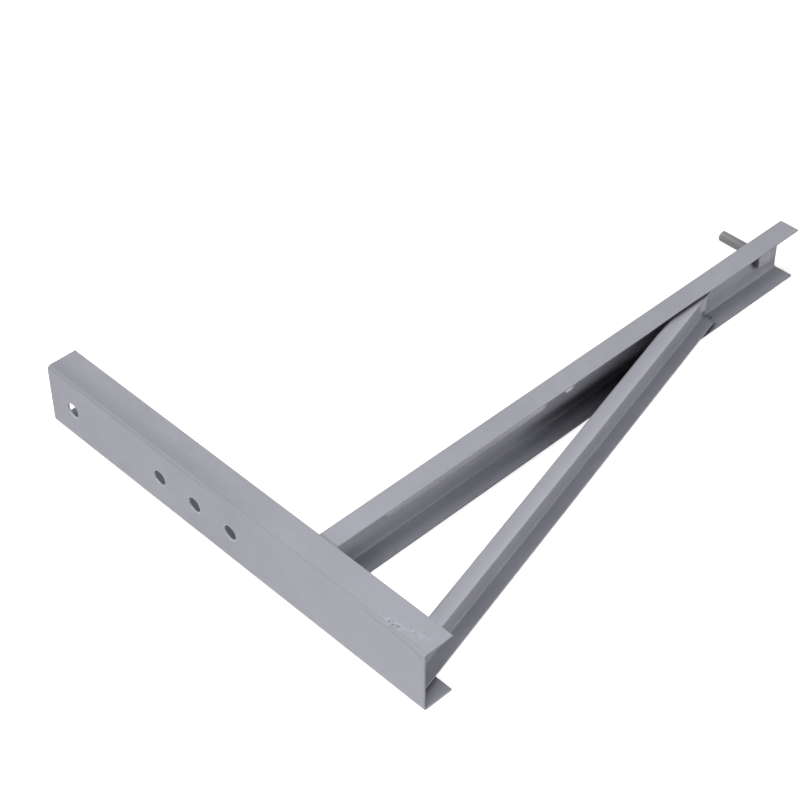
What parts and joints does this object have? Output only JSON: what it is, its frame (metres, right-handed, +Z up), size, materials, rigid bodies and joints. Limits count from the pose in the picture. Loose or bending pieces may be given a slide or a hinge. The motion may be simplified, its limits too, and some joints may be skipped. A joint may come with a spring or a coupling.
{
  "type": "air conditioner bracket",
  "caption": "Welded steel wall bracket for the outdoor unit of an air conditioner: nested folded channels with a slotted arm, a brace and an upright bolt.",
  "frame": {"origin": "on the wall face, in the middle of the wall channel's width, level with the arm's top face", "axes": "+X out of the wall along the arm, +Y along the wall, +Z up"},
  "size_m": [0.45, 0.046, 0.335],
  "materials": {
    "coated_steel": "smooth pale grey powder coat, low gloss",
    "zinc_steel": "zinc plated, dull"
  },
  "bodies": {
    "root": {"wall_channel": "coated_steel", "arm_channel": "coated_steel", "brace_channel": "coated_steel", "arm_root_weld": "coated_steel", "brace_foot_weld": "coated_steel", "brace_head_weld": "coated_steel", "foot_bolt": "zinc_steel", "bolt_nut": "zinc_steel"}
  },
  "joints": []
}
